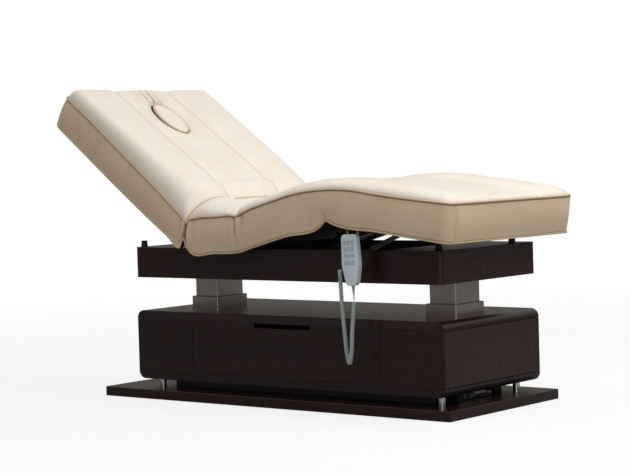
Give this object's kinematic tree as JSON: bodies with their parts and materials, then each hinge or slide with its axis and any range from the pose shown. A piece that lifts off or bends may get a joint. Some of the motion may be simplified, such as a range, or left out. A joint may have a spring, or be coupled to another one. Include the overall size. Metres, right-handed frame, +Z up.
{
  "type": "facial treatment bed",
  "caption": "Powered facial treatment bed: cushioned back, seat, thigh and leg sections on a lifting frame over a wooden cabinet with a drawer, with a face hole and a corded handset.",
  "frame": {"origin": "on the floor, midway between the two lifting columns, on the underside of the plinth board", "axes": "+X to the foot end, -Y to the drawer side, +Z up"},
  "size_m": [1.8402, 0.7665, 1.1855],
  "materials": {
    "wenge_wood": "satin lacquer over dark red-brown veneer",
    "drawer_board": "matt melamine",
    "plywood": "sanded birch plywood",
    "brushed_steel": "brushed",
    "zinc_steel": "zinc plated",
    "polished_rod": "polished",
    "black_steel": "satin black powder coat",
    "black_plastic": "fine texture",
    "black_rubber": "matt",
    "cream_leather": "soft satin leatherette",
    "tan_leather": "satin",
    "handset_plastic": "satin",
    "handset_keys": "matt membrane",
    "cord_rubber": "satin"
  },
  "bodies": {
    "base": {"plinth_board": "wenge_wood", "standoff_posts": "brushed_steel", "cabinet_top_board": "wenge_wood", "cabinet_bottom_board": "wenge_wood", "cabinet_edge_mouldings": "wenge_wood", "cabinet_end_panels": "wenge_wood", "cabinet_front_panels": "wenge_wood", "cabinet_dividers": "drawer_board", "cabinet_back_panel": "wenge_wood", "mains_inlet": "zinc_steel", "drawer_runner_fixed_members": "zinc_steel", "base_steelwork": "black_steel", "column_outer_sleeves": "brushed_steel", "column_guide_collars": "black_plastic", "base_plate_bolts": "zinc_steel", "column_actuator_bodies": "black_plastic"},
    "lift_frame": {"column_inner_sleeves": "brushed_steel", "column_actuator_rods": "polished_rod", "column_head_plates": "black_steel", "frame_side_rails": "wenge_wood", "frame_end_rails": "wenge_wood", "frame_corner_posts": "wenge_wood", "frame_decks": "wenge_wood", "rubber_stops": "black_rubber", "steel_subframe": "black_steel", "hinge_brackets": "black_steel", "section_hinge_pins": "zinc_steel", "seat_panel": "plywood", "seat_cushion": "cream_leather", "back_actuator_body": "black_plastic"},
    "drawer": {"drawer_front": "wenge_wood", "drawer_sides": "drawer_board", "drawer_rear_board": "drawer_board", "drawer_base_board": "drawer_board", "drawer_runner_sliding_members": "zinc_steel"},
    "drawer_runners": {"drawer_runner_mid_members": "zinc_steel"},
    "back_section": {"back_panel": "plywood", "back_cushion": "cream_leather", "back_support_arms": "black_steel"},
    "face_plug": {"face_plug": "cream_leather"},
    "thigh_section": {"thigh_panel": "plywood", "thigh_cushion": "cream_leather", "thigh_support_arms": "black_steel", "knee_hinge_pins": "zinc_steel"},
    "leg_section": {"leg_panel": "plywood", "leg_cushion": "cream_leather", "leg_support_arms": "black_steel", "handset_straps": "tan_leather", "coiled_cord": "cord_rubber"},
    "back_actuator_rod": {"back_actuator_rod": "polished_rod"},
    "leg_actuator_body": {"leg_actuator_body": "black_plastic"},
    "leg_actuator_rod": {"leg_actuator_rod": "polished_rod"},
    "leg_link": {"leg_link": "black_steel"},
    "handset": {"handset_front_case": "handset_plastic", "handset_back_case": "handset_plastic", "handset_strain_relief": "cord_rubber"},
    "handset_key_height": {"handset_key_height": "handset_keys"},
    "handset_key_back": {"handset_key_back": "handset_keys"},
    "handset_key_knee": {"handset_key_knee": "handset_keys"},
    "handset_key_tilt": {"handset_key_tilt": "handset_keys"}
  },
  "joints": [
    {"name": "lift_slide", "type": "slide", "parent": "base", "child": "lift_frame", "axis": [0, 0, 1], "range_m": [-0.04, 0.16]},
    {"name": "back_hinge", "type": "hinge", "parent": "lift_frame", "child": "back_section", "pos_m": [-0.393, 0, 0.592], "axis": [0, 1, 0], "range_deg": [-37.5, 32.5]},
    {"name": "back_rod_slide", "type": "slide", "parent": "lift_frame", "child": "back_actuator_rod", "axis": [-1, 0, 0], "range_m": [-0.051, 0.045]},
    {"name": "thigh_hinge", "type": "hinge", "parent": "lift_frame", "child": "thigh_section", "pos_m": [-0.1243, 0, 0.592], "axis": [0, -1, 0], "range_deg": [-15.5, 14.5]},
    {"name": "knee_hinge", "type": "hinge", "parent": "thigh_section", "child": "leg_section", "pos_m": [0.26626, 0, 0.70031], "axis": [0, 1, 0], "range_deg": [-23.1, 21.7]},
    {"name": "leg_actuator_pivot", "type": "hinge", "parent": "lift_frame", "child": "leg_actuator_body", "pos_m": [-0.235, 0, 0.488], "axis": [0, -1, 0], "range_deg": [-12.5, 12.5]},
    {"name": "leg_rod_slide", "type": "slide", "parent": "leg_actuator_body", "child": "leg_actuator_rod", "axis": [0.961, 0, 0.2765], "range_m": [-0.026, 0.026]},
    {"name": "leg_link_pivot", "type": "hinge", "parent": "lift_frame", "child": "leg_link", "pos_m": [0.152, 0, 0.545], "axis": [0, -1, 0], "range_deg": [-22, 22]},
    {"name": "drawer_slide", "type": "slide", "parent": "base", "child": "drawer", "axis": [0, -1, 0], "range_m": [0, 0.38]},
    {"name": "runner_slide", "type": "slide", "parent": "base", "child": "drawer_runners", "axis": [0, -1, 0], "range_m": [0, 0.19]},
    {"name": "face_plug_lift", "type": "slide", "parent": "back_section", "child": "face_plug", "axis": [0.6088, 0, 0.7934], "range_m": [0, 0.15]},
    {"name": "handset_lift_off", "type": "slide", "parent": "leg_section", "child": "handset", "axis": [0, -1, 0], "range_m": [0, 0.15], "deforming": ["coiled_cord"]},
    {"name": "key_height_rock", "type": "hinge", "parent": "handset", "child": "handset_key_height", "pos_m": [0.38534, -0.3821, 0.60094], "axis": [-0.0436, 0, 0.999], "range_deg": [-3.5, 3.5]},
    {"name": "key_back_rock", "type": "hinge", "parent": "handset", "child": "handset_key_back", "pos_m": [0.38633, -0.3821, 0.57816], "axis": [-0.0436, 0, 0.999], "range_deg": [-3.5, 3.5]},
    {"name": "key_knee_rock", "type": "hinge", "parent": "handset", "child": "handset_key_knee", "pos_m": [0.38733, -0.3821, 0.55539], "axis": [-0.0436, 0, 0.999], "range_deg": [-3.5, 3.5]},
    {"name": "key_tilt_rock", "type": "hinge", "parent": "handset", "child": "handset_key_tilt", "pos_m": [0.38832, -0.3821, 0.53261], "axis": [-0.0436, 0, 0.999], "range_deg": [-3.5, 3.5]}
  ],
  "couplings": [
    {"joint": "back_rod_slide", "follows": "back_hinge", "m_per_rad": 0.0756},
    {"joint": "knee_hinge", "follows": "thigh_hinge", "ratio": 1.4839},
    {"joint": "leg_actuator_pivot", "follows": "thigh_hinge", "ratio": 0.71943},
    {"joint": "leg_rod_slide", "follows": "thigh_hinge", "m_per_rad": 0.070395},
    {"joint": "leg_link_pivot", "follows": "thigh_hinge", "ratio": 1.239},
    {"joint": "runner_slide", "follows": "drawer_slide", "ratio": 0.5}
  ]
}
